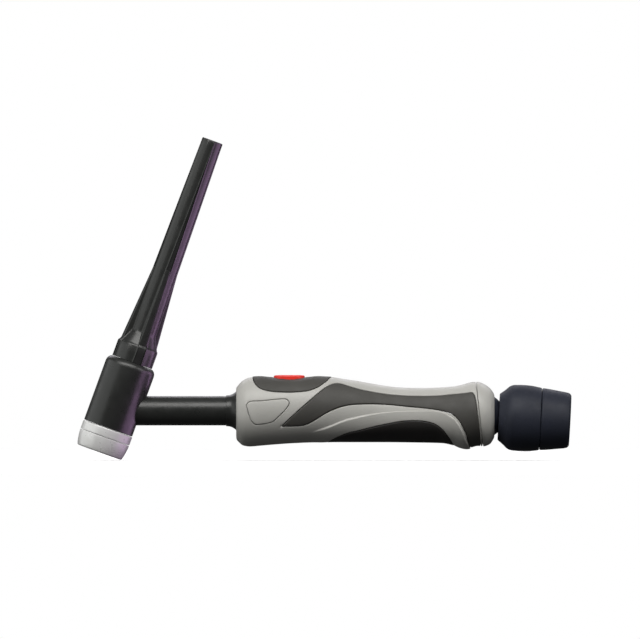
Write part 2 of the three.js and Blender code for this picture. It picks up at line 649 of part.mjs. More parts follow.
// The cone's front lip stays clear of the rear ring's nose at every tilt.
const swivelCone = () => turned([
  [BALL_NECK_R + GAP, 12.4 - GAP], [BALL_NECK_R + GAP, 9.6], [8, 8.9], [9.6, 7.7], [10.2, 7.4], [11.6, 9.4],
  [13.6, 11.6], [14.3, 12.6], [14.6, 14.2], [14.7, 19], [14.4, 22.5], [13.9, 26.2],
  [SLEEVE_BORE_R, 26.2], [SLEEVE_BORE_R, 16 + GAP], [9.6 + GAP, 16 + GAP], [9.6 + GAP, 12.4 - GAP],
]);

const cableSleeve = () => turned([
  [SLEEVE_BORE_R, 26.2 + GAP], [13.2, 26.2 + GAP], [13.6, 26.9], [13.5, 28.5], [12.9, 33], [12.4, 37.2],
  [12.1, 38.2], [11.6, 39.1], [11.3, 39.7], [SLEEVE_BORE_R, 39.7],
]);

add(swivel, "swivel_ball", swivelBall(), SWIVEL_NAVY);
add(swivel, "swivel_cone", swivelCone(), SWIVEL_NAVY);
add(swivel, "cable_sleeve", cableSleeve(), SWIVEL_NAVY);

// ---------- origin: the middle of the bounding box's underside ----------
torch.updateMatrixWorld(true);
const bounds = new THREE.Box3().setFromObject(torch, true);
const middle = bounds.getCenter(new THREE.Vector3());
torch.position.set(-middle.x, -middle.y, -bounds.min.z);

export default torch;
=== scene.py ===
"""The looks of a gas-cooled TIG welding torch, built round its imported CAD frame.

Shapes are laid out in millimetres round the point where the head's axis crosses the neck's axis, with +X back
along the handle and +Z up, as the CAD is. Each piece is then placed in the row frame, which is in metres.
"""
import json
import math

import bpy
import numpy as np
from mathutils import Matrix, Vector
from mathutils.geometry import delaunay_2d_cdt

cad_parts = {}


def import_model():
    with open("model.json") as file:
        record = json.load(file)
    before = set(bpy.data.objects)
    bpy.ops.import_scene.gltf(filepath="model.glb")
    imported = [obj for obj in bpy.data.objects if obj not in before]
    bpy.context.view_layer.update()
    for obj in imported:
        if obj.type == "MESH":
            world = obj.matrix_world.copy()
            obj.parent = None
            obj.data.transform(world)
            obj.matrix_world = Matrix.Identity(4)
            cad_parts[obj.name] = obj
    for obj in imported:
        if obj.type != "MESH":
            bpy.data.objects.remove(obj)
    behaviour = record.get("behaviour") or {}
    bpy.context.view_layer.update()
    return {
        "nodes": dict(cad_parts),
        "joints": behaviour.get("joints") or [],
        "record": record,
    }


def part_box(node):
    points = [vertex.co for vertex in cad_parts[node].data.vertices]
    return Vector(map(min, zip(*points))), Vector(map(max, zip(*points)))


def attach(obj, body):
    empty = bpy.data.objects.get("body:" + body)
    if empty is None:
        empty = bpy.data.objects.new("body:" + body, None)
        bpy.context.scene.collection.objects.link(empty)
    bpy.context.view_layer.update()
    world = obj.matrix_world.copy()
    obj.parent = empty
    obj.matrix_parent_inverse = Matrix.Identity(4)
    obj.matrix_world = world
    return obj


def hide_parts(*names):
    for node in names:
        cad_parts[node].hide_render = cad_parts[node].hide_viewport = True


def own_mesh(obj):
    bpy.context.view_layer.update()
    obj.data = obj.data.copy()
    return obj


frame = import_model()

# ---------- where things are, from the frame ----------
MM = 0.001
JOINTS = {joint["name"]: joint for joint in frame["joints"]}
MOUNTS = {mount["name"]: mount for mount in frame["record"]["mounts"]}


def middle(node):
    low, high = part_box(node)
    return (low + high) / 2


def crossing():
    """Where the head's axis meets the neck's."""
    on_axis = Vector(JOINTS["cap_turn"]["pos_m"])
    axis = Vector(JOINTS["cap_turn"]["axis"])
    return on_axis + axis * ((middle("neck_tube").z - on_axis.z) / axis.z)


def placing(origin, axis):
    """Takes millimetres measured along +Z into metres along an axis in the torch's side plane."""
    lean = math.atan2(axis[0], axis[2])
    return Matrix.Translation(origin) @ Matrix.Rotation(lean, 4, "Y") @ Matrix.Scale(MM, 4)


CROSSING = crossing()
TORCH = placing(CROSSING, (0, 0, 1))
HEAD = placing(CROSSING, JOINTS["cap_turn"]["axis"])
NECK = placing(CROSSING, (1, 0, 0))
SWIVEL = placing(Vector(JOINTS["swivel_tilt"]["pos_m"]), MOUNTS["cable_outlet"]["axis"])
PIVOT = (Vector(JOINTS["swivel_tilt"]["pos_m"]) - CROSSING) / MM
SCREWS = [(middle(n) - CROSSING) / MM for n in ("shell_screw_front", "shell_screw_rear")]

# ---------- driving dimensions, in millimetres ----------
GAP = 0.3
HANDLE_FRONT = 55.0
HANDLE_REAR = 171.0
NECK_R = 6.6
NECK_BORE_R = 4.4  # round the neck tube
NECK_SLEEVE_ENDS = (3.0, 69.0)
COLLAR_START = 50.3
COLLAR_END = 60.0
COLLAR_BORE_R = 6.65
COLLAR_R = 8.7
BALL_R = 10.2
BALL_NECK_R = 6.7
BALL_BORE_R = 5.5
SEAT_R = BALL_R + GAP
LINER_POCKET_R = 12.4
LINER_POCKET_REAR = 168.0
SLEEVE_BORE_R = 10.2
SEAM_X = 164.1
SEAM_LEAN = math.radians(6)
UNROLL_R = 14.0  # the handle's skin is unrolled at this radius
GRID = 0.85  # spacing of the skin's points


# ---------- materials ----------
class Finish:
    """A Principled material with its nodes built up a line at a time. Noise runs on object coordinates."""

    def __init__(self, name):
        self.material = bpy.data.materials.new(name)
        self.material.use_nodes = True
        self.tree = self.material.node_tree
        self.shader = self.tree.nodes["Principled BSDF"]
        self.where = self.tree.nodes.new("ShaderNodeTexCoord").outputs["Object"]

    def node(self, kind, **settings):
        made = self.tree.nodes.new(kind)
        for key, value in settings.items():
            setattr(made, key, value)
        return made

    def link(self, source, target):
        self.tree.links.new(source, target)

    def noise(self, size_mm, detail=2.0, stretch=(1, 1, 1)):
        """Noise from 0 to 1 whose features are about size_mm across."""
        mapping = self.node("ShaderNodeMapping")
        mapping.inputs["Scale"].default_value = stretch
        texture = self.node("ShaderNodeTexNoise")
        texture.inputs["Scale"].default_value = 1 / (size_mm * MM)
        texture.inputs["Detail"].default_value = detail
        self.link(self.where, mapping.inputs["Vector"])
        self.link(mapping.outputs["Vector"], texture.inputs["Vector"])
        return texture.outputs["Fac"]

    def spread(self, source, low, high, start=0.3, stop=0.7):
        """Maps start..stop of source onto low..high."""
        span = self.node("ShaderNodeMapRange")
        for key, value in (("From Min", start), ("From Max", stop), ("To Min", low), ("To Max", high)):
            span.inputs[key].default_value = value
        self.link(source, span.inputs["Value"])
        return span.outputs["Result"]

    def mixed(self, factor, first, second):
        """A colour between two, which are each a colour or a socket."""
        mix = self.node("ShaderNodeMix", data_type="RGBA")
        self.link(factor, mix.inputs["Factor"])
        for index, colour in ((6, first), (7, second)):
            if isinstance(colour, tuple):
                mix.inputs[index].default_value = (*colour, 1)
            else:
                self.link(colour, mix.inputs[index])
        return mix.outputs[2]

    def bump(self, *layers):
        """Each layer is a height from 0 to 1 and its depth in millimetres."""
        normal = None
        for height, depth in layers:
            bump = self.node("ShaderNodeBump")
            bump.inputs["Distance"].default_value = depth * MM
            self.link(height, bump.inputs["Height"])
            if normal:
                self.link(normal, bump.inputs["Normal"])
            normal = bump.outputs["Normal"]
        self.link(normal, self.shader.inputs["Normal"])

    def edges(self):
        """1 on convex edges, 0 elsewhere."""
        return self.spread(self.node("ShaderNodeNewGeometry").outputs["Pointiness"], 0, 1, 0.52, 0.6)

    def set(self, **values):
        for key, value in values.items():
            self.shader.inputs[key.replace("_", " ")].default_value = value


def shade(colour, factor):
    return tuple(min(1.0, channel * factor) for channel in colour)


def moulded(name, colour, roughness, grain=0.35, depth=0.02, mottle=0.12, worn=1.6, specular=0.5):
    """A moulded plastic or rubber: fine grain, faint mottling, lighter where it is handled."""
    made = Finish(name)
    cloud = made.spread(made.noise(9, 3), 0, 1)
    base = made.mixed(cloud, shade(colour, 1 - mottle), shade(colour, 1 + mottle))
    speck = made.spread(made.noise(0.5, 1), 0, 1, 0.62, 0.72)
    base = made.mixed(made.spread(speck, 0, 0.2, 0, 1), base, shade(colour, 0.7))
    wear = made.node("ShaderNodeMath", operation="MULTIPLY")
    made.link(made.edges(), wear.inputs[0])
    made.link(made.spread(made.noise(3, 4), 0, 0.55), wear.inputs[1])
    base = made.mixed(wear.outputs[0], base, shade(colour, worn))
    made.link(base, made.shader.inputs["Base Color"])
    rough = made.spread(made.noise(5, 4), roughness - 0.06, roughness + 0.06)
    made.link(rough, made.shader.inputs["Roughness"])
    made.bump((made.noise(grain, 3), depth), (made.noise(7, 2), 0.04))
    made.set(Specular_IOR_Level=specular)
    return made.material


def fluoropolymer():
    """The heat shield: waxy off-white, with faint turning lines and heat haze."""
    made = Finish("fluoropolymer_white")
    haze = made.spread(made.noise(6, 3), 0, 1)
    base = made.mixed(haze, (0.7, 0.7, 0.69), (0.77, 0.77, 0.77))
    stain = made.spread(made.noise(2.2, 5), 0, 0.25, 0.6, 0.8)
    made.link(made.mixed(stain, base, (0.62, 0.59, 0.55)), made.shader.inputs["Base Color"])
    made.link(made.spread(made.noise(4, 3), 0.24, 0.38), made.shader.inputs["Roughness"])
    made.bump((made.noise(0.6, 2, (0.15, 0.15, 1)), 0.012), (made.noise(5, 2), 0.03))
    made.set(Metallic=0.2)
    return made.material


def machined(name, colour, roughness, tarnish):
    """A turned metal: fine lines across the axis and a little tarnish."""
    made = Finish(name)
    cloud = made.spread(made.noise(3, 5), 0, 1)
    made.link(made.mixed(cloud, colour, tarnish), made.shader.inputs["Base Color"])
    rough = made.spread(made.noise(1.5, 4), roughness - 0.08, roughness + 0.1)
    made.link(rough, made.shader.inputs["Roughness"])
    made.bump((made.noise(0.25, 2, (1, 0.1, 0.1)), 0.01))
    made.set(Metallic=1.0)
    return made.material


BLACK = moulded(
    "black_phenolic", (0.017, 0.018, 0.017), 0.32, grain=0.5, depth=0.006, mottle=0.1, worn=1.4)
WHITE = fluoropolymer()
SHELL = moulded(
    "shell_grey_moulding", (0.44, 0.435, 0.41), 0.42, grain=0.28, depth=0.012, mottle=0.03, worn=1.2)
GRIP = moulded(
    "grip_dark_rubber", (0.05, 0.048, 0.043), 0.62, grain=0.3, depth=0.03, mottle=0.08, worn=1.8)
# The underside pad is the grip's rubber made much darker: painted shade for the shade under the handle, not a
# colour of its own.
SHADED_PAD = moulded(
    "pad_rubber_darkened_as_shade", (0.018, 0.016, 0.015), 0.62, grain=0.3, depth=0.03, mottle=0.08, worn=1.8)
RED = moulded(
    "button_red_moulding", (0.78, 0.03, 0.018), 0.34, grain=0.4, depth=0.006, mottle=0.05, worn=1.15)
NAVY = moulded(
    "swivel_navy_moulding", (0.017, 0.02, 0.032), 0.58, grain=0.35, depth=0.015, mottle=0.1, worn=2.0,
    specular=0.3)
SEAL = moulded("seal_silicone", (0.25, 0.03, 0.018), 0.5)
ACETAL = moulded("acetal_white", (0.72, 0.72, 0.68), 0.4, mottle=0.04, worn=1.05)
BOARD = moulded("board_laminate", (0.03, 0.14, 0.05), 0.35)
LEAD = moulded("lead_insulation", (0.012, 0.012, 0.012), 0.5)
BRASS = machined("brass_turned", (0.62, 0.42, 0.17), 0.3, (0.4, 0.24, 0.09))
STEEL = machined("steel_plated", (0.55, 0.56, 0.57), 0.32, (0.36, 0.35, 0.34))


# ---------- making pieces ----------
def piece(name, points, faces, place, finish, body, replaces, sharp=38):
    """A smooth-shaded mesh in the row frame that stands for CAD nodes and rides on their body."""
    mesh = bpy.data.meshes.new(name)
    mesh.from_pydata([tuple(p) for p in points], [], [tuple(f) for f in faces])
    mesh.transform(place)
    mesh.validate()
    mesh.polygons.foreach_set("use_smooth", [True] * len(mesh.polygons))
    mesh.set_sharp_from_angle(angle=math.radians(sharp))
    mesh.materials.append(finish)
    made = bpy.data.objects.new(name, mesh)
    bpy.context.scene.collection.objects.link(made)
    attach(made, body)
    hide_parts(*replaces)
    return made


def arc(centre, radius, start, stop, steps):
    """Points on a circle, with angles in degrees."""
    turns = np.radians(np.linspace(start, stop, steps + 1))
    return [(centre[0] + radius * math.cos(t), centre[1] + radius * math.sin(t)) for t in turns]


def softened(corners, steps=5):
    """A closed profile whose corners, each (r, z, fillet), are rounded off."""
    made = []
    for i, (r, z, fillet) in enumerate(corners):
        here = np.array((r, z), float)
        before = np.array(corners[i - 1][:2], float) - here
        after = np.array(corners[(i + 1) % len(corners)][:2], float) - here
        if not fillet:
            made.append(tuple(here))
            continue
        a, b = before / np.linalg.norm(before), after / np.linalg.norm(after)
        reach = min(fillet, 0.45 * np.linalg.norm(before), 0.45 * np.linalg.norm(after))
        for t in np.linspace(0, 1, steps + 1):
            made.append(tuple(here + a * reach * (1 - t) ** 2 + b * reach * t**2))
    return made


def turned(name, profile, place, finish, body, replaces, sides=144):
    """A body of revolution from a closed profile of (r, z) points."""
    turns = np.linspace(0, 2 * math.pi, sides, endpoint=False)
    points = [(r * math.cos(t), r * math.sin(t), z) for r, z in profile for t in turns]
    rows = len(profile)
    faces = []
    for i in range(rows):
        for k in range(sides):
            here, up = i * sides, ((i + 1) % rows) * sides
            faces.append((here + k, here + (k + 1) % sides, up + (k + 1) % sides, up + k))
    return piece(name, points, faces, place, finish, body, replaces)


def lofted(name, rows, place, finish, body, replaces, sharp=38):
    """A closed body from loops of points of equal count, with its two ends filled."""
    count = len(rows[0])
    points = [p for row in rows for p in row]
    faces = [tuple(reversed(range(count)))]
    for i in range(len(rows) - 1):
        for k in range(count):
            a, b = i * count + k, i * count + (k + 1) % count
            faces.append((a, b, b + count, a + count))
    faces.append(tuple(range(len(points) - count, len(points))))
    return piece(name, points, faces, place, finish, body, replaces, sharp)


# ---------- head, ring and cap ----------
HEAD_R = 11.5
HEAD_BORE_R = 7.8
HEAD_BASE = -8.2
HEAD_TOP = 23.2
SHOULDER_WIDE = 2.4
SHOULDER_HIGH = 3.1
RING_R = 11.65
RING_SPLIT = -12.5
RING_END = -19.8
RING_BORE_R = 7.5
CAP_BASE_R = 9.0
CAP_BASE_TOP = 31.2
CAP_CORE_START = 37.2
FIN_END = 67.5
CAP_END = 129.4
FINS = 4
STEM_END = 10.0
THREAD_END = 20.0
THREAD_R = 5.3
THREAD_DEPTH = 0.7
THREAD_PITCH = 1.5
SEAL_LAND_R = 5.5
CAP_BORE_R = 1.9
CAP_BORE_SEEN = 6.0  # how far up its bore the cap is open
FIN_TURN = math.radians(15)


def head_insulation():
    shoulder = [(HEAD_R - SHOULDER_WIDE * (1 - c), HEAD_TOP - SHOULDER_HIGH * (1 - s), 0)
                for c, s in arc((0, 0), 1, 0, 90, 12)]
    profile = softened([
        (HEAD_BORE_R, HEAD_BASE, 0), (HEAD_R, HEAD_BASE, 0.35), *shoulder,
        (CAP_BASE_R - 0.7, HEAD_TOP, 0.3), (HEAD_BORE_R, HEAD_TOP - 1, 0),
    ])
    turned("head_moulding", profile, HEAD, BLACK, "torch", ["head_insulation"])


def shield():
    """The white insulator under the head, and the heat shield under that, with a fine joint between them."""
    upper_start, upper_end = RING_SPLIT + 0.12, HEAD_BASE - 0.25
    upper = softened([
        (RING_BORE_R, upper_start, 0.2), (RING_R, upper_start, 0.25),
        (RING_R, upper_end, 0.45), (RING_BORE_R, upper_end, 0.2),
    ])
    turned("insulator_ring", upper, HEAD, WHITE, "torch", ["front_insulator"])
    lower_end = RING_SPLIT - 0.12
    lower = softened([
        (RING_BORE_R, RING_END, 0.5), (10.5, RING_END, 0.7), (11.05, RING_END + 2, 1.2),
        (11.5, RING_END + 4.6, 2), (RING_R, lower_end, 0.25), (RING_BORE_R, lower_end, 0.2),
    ])
    turned("heat_shield_ring", lower, HEAD, WHITE, "torch", ["heat_shield"])


CAP_OUTLINE = (
    (HEAD_TOP, CAP_BASE_R), (CAP_BASE_TOP - 0.5, CAP_BASE_R), (CAP_BASE_TOP, CAP_BASE_R - 0.2),
    (CAP_BASE_TOP + 0.3, CAP_BASE_R - 0.5), (CAP_CORE_START - 0.5, 6.1), (CAP_CORE_START + 0.5, 5.85),
    (FIN_END, 5.35), (CAP_END - 0.5, 4.5), (CAP_END - 0.15, 4.4), (CAP_END, 4.1),
)


def cap_radius(z):
    """The cap's round body under its fins."""
    return float(np.interp(z, *zip(*CAP_OUTLINE)))


def cap_section(z, fins=True):
    """One cross-section: four flat-topped fins with small fillets, standing on the round body."""
    core = cap_radius(z)
    along = (z - CAP_BASE_TOP) / (FIN_END - CAP_BASE_TOP)
    half = 1.9 + (1.15 - 1.9) * along
    top = 8.5 + (5.75 - 8.5) * along if fins else 0
    corner, foot = 0.3, 0.45
    root = math.sqrt(core**2 - half**2)
    half_profile = [
        (0.0, top), (half - corner, top - 0.05), (half - 0.1, top - 0.15), (half, top - corner),
        (half + 0.05, root + foot), (half + 0.15, root + 0.15), (half + foot, 0),
    ]
    loop = []
    for k in range(FINS):
        axis = -math.pi / 2 + FIN_TURN + k * 2 * math.pi / FINS
        fin = [(-u, v) for u, v in half_profile[:0:-1]] + half_profile
        for u, v in fin:
            v = max(v, math.sqrt(core**2 - u**2))
            x = v * math.cos(axis) - u * math.sin(axis)
            y = v * math.sin(axis) + u * math.cos(axis)
            loop.append((x, y, z))
        spread = math.asin((half + foot) / core)
        start = axis + spread
        stop = axis + 2 * math.pi / FINS - spread
        for turn in np.linspace(start, stop, 12)[1:-1]:
            loop.append((core * math.cos(turn), core * math.sin(turn), z))
    return loop


def cap_ring(z, radius):
    """A cross-section under the cap's base, with a radius for each turn and as many points as those above."""
    turns = [math.atan2(y, x) for x, y, _ in cap_section(HEAD_TOP + 1, False)]
    return [(radius(t) * math.cos(t), radius(t) * math.sin(t), z) for t in turns]


def cap_stem():
    """The cap's electrode bore, its screw thread, and the plain land that the seal sits on."""
    def thread(z):
        def radius(turn):
            climb = (z / THREAD_PITCH - turn / (2 * math.pi)) % 1
            return THREAD_R - THREAD_DEPTH * abs(2 * climb - 1)

        return radius

    def plain(radius, *heights):
        return [cap_ring(z, lambda turn: radius) for z in heights]

    root = THREAD_R - THREAD_DEPTH
    threaded = [cap_ring(z, thread(z)) for z in np.arange(STEM_END + 0.4, THREAD_END, THREAD_PITCH / 8)]
    return [
        *plain(CAP_BORE_R, STEM_END + CAP_BORE_SEEN, STEM_END), *plain(root, STEM_END), *threaded,
        *plain(root, THREAD_END, THREAD_END + 0.3), *plain(SEAL_LAND_R, THREAD_END + 0.4, HEAD_TOP + 0.15),
    ]


def back_cap():
    """The whole cap in one loft: stem, round base, fins, and the plain tube above them."""
    plain = [HEAD_TOP + 0.15, HEAD_TOP + 0.5, 27, CAP_BASE_TOP - 0.5, CAP_BASE_TOP, CAP_BASE_TOP + 0.3]
    finned = np.concatenate([np.linspace(CAP_BASE_TOP + 0.8, CAP_CORE_START + 1, 12),
                             np.linspace(CAP_CORE_START + 2, FIN_END - 0.4, 24), [FIN_END - 0.12]])
    bare = [FIN_END + 0.05, FIN_END + 0.6, *np.linspace(FIN_END + 4, CAP_END - 0.5, 20), CAP_END - 0.15,
            CAP_END]
    rows = cap_stem() + [cap_section(z, False) for z in plain]
    rows += [cap_section(z) for z in finned]
    rows += [cap_section(z, False) for z in bare]
    lofted("back_cap_moulding", rows, HEAD, BLACK, "cap", ["back_cap"], sharp=50)


# ---------- neck ----------
def neck():
    """The insulated neck, and the collar that flares out to meet the handle."""
    first, last = NECK_SLEEVE_ENDS
    sleeve = softened([
        (NECK_BORE_R, first, 0), (NECK_R, first, 0), (NECK_R, last, 0.3), (NECK_BORE_R, last, 0),
    ])
    turned("neck_sleeve", sleeve, NECK, BLACK, "torch", ["neck_insulation"])
    collar = softened([
        (COLLAR_BORE_R, COLLAR_START, 0), (6.95, COLLAR_START, 0.2), (7.0, COLLAR_START + 1.2, 0.6),
        (7.3, COLLAR_START + 2.4, 0.8), (7.95, COLLAR_START + 3.6, 0.8), (COLLAR_R, COLLAR_START + 4.5, 0.3),
        (COLLAR_R, COLLAR_END, 0), (COLLAR_BORE_R, COLLAR_END, 0),
    ])
    turned("neck_collar_moulding", collar, NECK, BLACK, "torch", ["neck_collar"])


# ---------- the handle's skin ----------
def smooth_line(*points):
    """A line through (x, value) points whose slopes never overshoot."""
    xs, ys = np.array(points, float).T
    rise = np.diff(ys) / np.diff(xs)
    slopes = np.concatenate([[rise[0]], np.zeros(len(xs) - 2), [rise[-1]]])
    same = rise[:-1] * rise[1:] > 0
    slopes[1:-1][same] = 2 * rise[:-1][same] * rise[1:][same] / (rise[:-1] + rise[1:])[same]

    def line(x):
        x = np.clip(np.asarray(x, float), xs[0], xs[-1])
        i = np.clip(np.searchsorted(xs, x, "right") - 1, 0, len(xs) - 2)
        span = xs[i + 1] - xs[i]
        t = (x - xs[i]) / span
        rising = (1 + 2 * t) * (1 - t) ** 2 * ys[i] + t * t * (3 - 2 * t) * ys[i + 1]
        return rising + span * (t * (1 - t) ** 2 * slopes[i] + t * t * (t - 1) * slopes[i + 1])

    return line


# The handle's top, its underside and half its width, each along the handle.
top_line = smooth_line(
    (55, 10.6), (56.4, 12.3), (57.8, 13.6), (60.9, 15), (64, 15.5), (72, 15.6), (88, 15.6), (97, 15.3),
    (104, 14.2), (109.5, 13.4), (115, 12.4), (120.3, 11.5), (126, 10.7), (132, 10.3), (139, 10.25),
    (146.5, 10.5), (153, 11), (157, 11.9), (160.8, 12.9), (163, 13.1), (166, 12.2), (169, 10.2), (171, 7.4))
bottom_line = smooth_line(
    (55, -13.1), (56.4, -14.5), (57.8, -15.6), (60.9, -16.1), (66, -15.7), (72, -15.2), (79, -14.7),
    (88, -14.3), (97, -14.1), (120, -14.1), (139, -14.3), (147, -14.5), (152.7, -15.1), (155.4, -16.1),
    (158.5, -16.7), (161, -16.3), (163.5, -15.7), (166.2, -16), (169, -15), (171, -12.1))
half_width = smooth_line(
    (55, 10.8), (56.4, 12), (59, 13.3), (66, 14.2), (85, 14.2), (100, 13.4), (120, 12), (140, 11.6),
    (150, 12.2), (158, 13.8), (162, 14.3), (166, 14), (169, 12.4), (171, 9.75))
FACE_RUN = 1.8  # how far the skin runs on, unrolled, across the handle's front face


def skin(x, s, side=-1):
    """The handle's surface at x and at s round from the top, on the left side (-1) or the right (1)."""
    turn = s / UNROLL_R
    inward = np.clip((HANDLE_FRONT - x) / FACE_RUN, 0, 1)
    high, low = top_line(x), bottom_line(x)
    rim = COLLAR_R + GAP
    up = (1 - inward) * (high - low) / 2 + inward * rim
    across = (1 - inward) * half_width(x) + inward * rim
    level = (1 - inward) * (high + low) / 2
    depth = np.maximum(x, HANDLE_FRONT) + 0.25 * inward - 0.3 * np.sin(math.pi * inward)
    return np.stack([depth, side * across * np.sin(turn), level + up * np.cos(turn)], -1)


def skin_normal(x, s, side=-1):
    """The handle's outward direction there."""
    step = 0.02
    along = skin(x + step, s, side) - skin(x - step, s, side)
    round_ = skin(x, s + step, side) - skin(x, s - step, side)
    normal = np.cross(along, round_) * side
    return normal / np.linalg.norm(normal, axis=-1, keepdims=True)


def unrolled(points):
    """Takes (x, z) points of the side view onto the unrolled skin."""
    x, z = np.array(points, float).T
    high, low = top_line(x), bottom_line(x)
    cosine = np.clip((z - (high + low) / 2) / ((high - low) / 2), -1, 1)
    return np.stack([x, np.arccos(cosine) * UNROLL_R], -1)


def resampled(points, step):
    """The same line with its points evenly spaced."""
    points = np.asarray(points, float)
    lengths = np.concatenate([[0], np.cumsum(np.linalg.norm(np.diff(points, axis=0), axis=1))])
    at = np.linspace(0, lengths[-1], max(2, round(lengths[-1] / step) + 1))
    return np.stack([np.interp(at, lengths, points[:, k]) for k in (0, 1)], -1)


def curve(points, step=0.7):
    """A smooth line through the points."""
    points = np.asarray(points, float)
    ends = np.vstack([2 * points[0] - points[1], points, 2 * points[-1] - points[-2]])
    fine = []
    for a, b, c, d in zip(ends, ends[1:], ends[2:], ends[3:]):
        for t in np.linspace(0, 1, 12, endpoint=False):
            fine.append(0.5 * (2 * b + (c - a) * t + (2 * a - 5 * b + 4 * c - d) * t**2
                               + (3 * b - a - 3 * c + d) * t**3))
    return resampled([*fine, points[-1]], step)


def joined(*lines):
    """A closed outline from lines that meet end to end."""
    return np.vstack([line[:-1] for line in lines])


def area(outline):
    """Twice the outline's area, positive if it runs anticlockwise."""
    x, s = outline.T
    return float(np.sum(x * np.roll(s, -1) - np.roll(x, -1) * s))


def grown(outline, margin):
    """The outline moved out, or in if margin is negative."""
    along = np.roll(outline, -1, 0) - np.roll(outline, 1, 0)
    along /= np.linalg.norm(along, axis=1, keepdims=True)
    return outline + np.stack([along[:, 1], -along[:, 0]], -1) * np.sign(area(outline)) * margin


def nearest(points, starts, stops):
    """Each point's distance to the nearest of some segments, positive on the segment's right."""
    best = np.full(len(points), 1e9)
    side = np.ones(len(points))
    for a, b in zip(starts, stops):
        run = b - a
        t = np.clip(((points - a) @ run) / max(run @ run, 1e-12), 0, 1)
        off = points - a - t[:, None] * run
        distance = np.hypot(*off.T)
        closer = distance < best
        best[closer] = distance[closer]
        side[closer] = np.sign(run[0] * off[closer, 1] - run[1] * off[closer, 0])
    return best, side


def ramp(value, low, high):
    """A smooth step from 0 at low to 1 at high."""
    t = np.clip((value - low) / (high - low), 0, 1)
    return t * t * (3 - 2 * t)


# ---------- outlines of the handle's panels ----------
BOTTOM_S = math.pi * UNROLL_R  # where the skin reaches the middle of the underside


def grip_outline():
    upper = curve(unrolled([
        (75.2, -7), (79, -3.5), (83.4, 0.6), (88, 4.6), (92.4, 8.5), (95.6, 10.9), (98.3, 12.2),
        (100.6, 12.5), (103.2, 12), (110.4, 9.8), (119.4, 8), (128.4, 7), (137.4, 6.7), (146.4, 6.9),
        (153.2, 7.6), (160.6, 8.4)]))
    rear_foot, front_foot = (164.7, BOTTOM_S), (160.4, BOTTOM_S)
    rear = curve([*unrolled([(160.6, 8.4), (161.7, 7.4), (162.6, 4), (163.4, -2), (164.2, -9)]), rear_foot])
    under = resampled([rear_foot, front_foot], 0.7)
    lower = curve([front_foot, *unrolled([
        (158.7, -11.8), (157.2, -8.4), (155.2, -4.6), (152.9, -2.2), (149.5, -0.5), (142, 1), (128.4, 2.4),
        (119.4, 3.1), (110.4, 3.1), (103.7, 2.3), (97, -0.1), (92.4, -2.8), (88.5, -5.2), (85.5, -6.5),
        (81, -6.9), (75.2, -7)])])
    return joined(upper, rear, under, lower)


def badge_outline():
    points = unrolled([
        (59.5, 2.4), (60.9, 4), (66.3, 4.4), (75.6, 5.3), (77.9, 4.8), (78.5, 3.1), (76.4, 0), (73.5, -2.8),
        (70.8, -5), (66.3, -5.9), (63.6, -6), (62.2, -5), (60.8, -2.1), (59.5, 2.4)])
    return joined(curve(points, 0.5))


def underside_outline():
    edge = curve([(95.4, BOTTOM_S), *unrolled([
        (98, -12.6), (103.7, -10.1), (110.4, -8.5), (119.4, -6.4), (128.4, -4.8), (134, -4.4), (139.7, -4.7),
        (144.2, -5.9), (147.3, -8), (149.6, -10.6), (151.6, -13.2)]), (153, BOTTOM_S)])
    mirrored = edge[::-1] * (1, -1) + (0, 2 * BOTTOM_S)
    return joined(edge, mirrored)


def saddle_outline():
    edge = curve([(62, 0), *unrolled([
        (62.7, 13.8), (63.7, 12), (65.5, 10.4), (68.1, 9.4), (71.7, 8.8), (78, 8.5), (84.3, 8.8), (88, 9.4),
        (91.5, 10.8), (93.8, 12.3), (95.8, 13.8)]), (97.8, 0)])
    return joined(edge, edge[::-1] * (1, -1))


def stadium(x, length, width, steps=14):
    """A round-ended outline round a middle at x on the top line."""
    reach = (length - width) / 2
    rear_end = arc((x + reach, 0), width / 2, -90, 90, steps)
    front_end = arc((x - reach, 0), width / 2, 90, 270, steps)
    return np.array(rear_end + front_end)


def shell_outline():
    """One shell's whole side, from the front face to the leaning seam."""
    s = np.linspace(GAP / 3, BOTTOM_S - GAP / 3, 60)
    seam = SEAM_X - GAP / 2 - math.tan(SEAM_LEAN) * skin(np.full(60, SEAM_X), s)[:, 2]
    front = HANDLE_FRONT - FACE_RUN
    rear = np.stack([seam, s], -1)
    top = resampled([(front, s[0]), rear[0]], 0.7)
    bottom = resampled([rear[-1], (front, s[-1])], 0.7)
    nose = resampled([(front, s[-1]), (front, s[0])], 0.7)
    return joined(top, resampled(rear, 0.7), bottom, nose)


CREASE = curve(unrolled([
    (90, -9.2), (97, -6.8), (103.7, -4.2), (109.5, -2.8), (115, -1.7), (121.7, -0.8), (128.4, -0.3),
    (141.9, -0.1), (147.8, -0.9), (151, -2.4), (154.3, -5.2), (156.8, -9.5), (158.6, -14)]), 0.5)
CREASE_STEP = 0.7
CREASE_HALF = 0.25  # half the width of the step


def crease_lift(points):
    """The band below the crease stands proud, and fades out towards its front end."""
    folded = np.stack([points[:, 0], BOTTOM_S - np.abs(BOTTOM_S - np.abs(points[:, 1]))], -1)
    distance, side = nearest(folded, CREASE[:-1], CREASE[1:])
    step = ramp(distance * side, -CREASE_HALF, CREASE_HALF)
    return CREASE_STEP * step * ramp(folded[:, 0], 88, 96) * (1 - ramp(distance, 7, 14))


def button_dish(points):
    """A shallow dish round the push button."""
    half_length, half_across, deep = 13.5, 9, 0.5
    reach = np.hypot((points[:, 0] - BUTTON_X) / half_length, points[:, 1] / half_across)
    return -deep * (1 - ramp(reach, 0.55, 1))


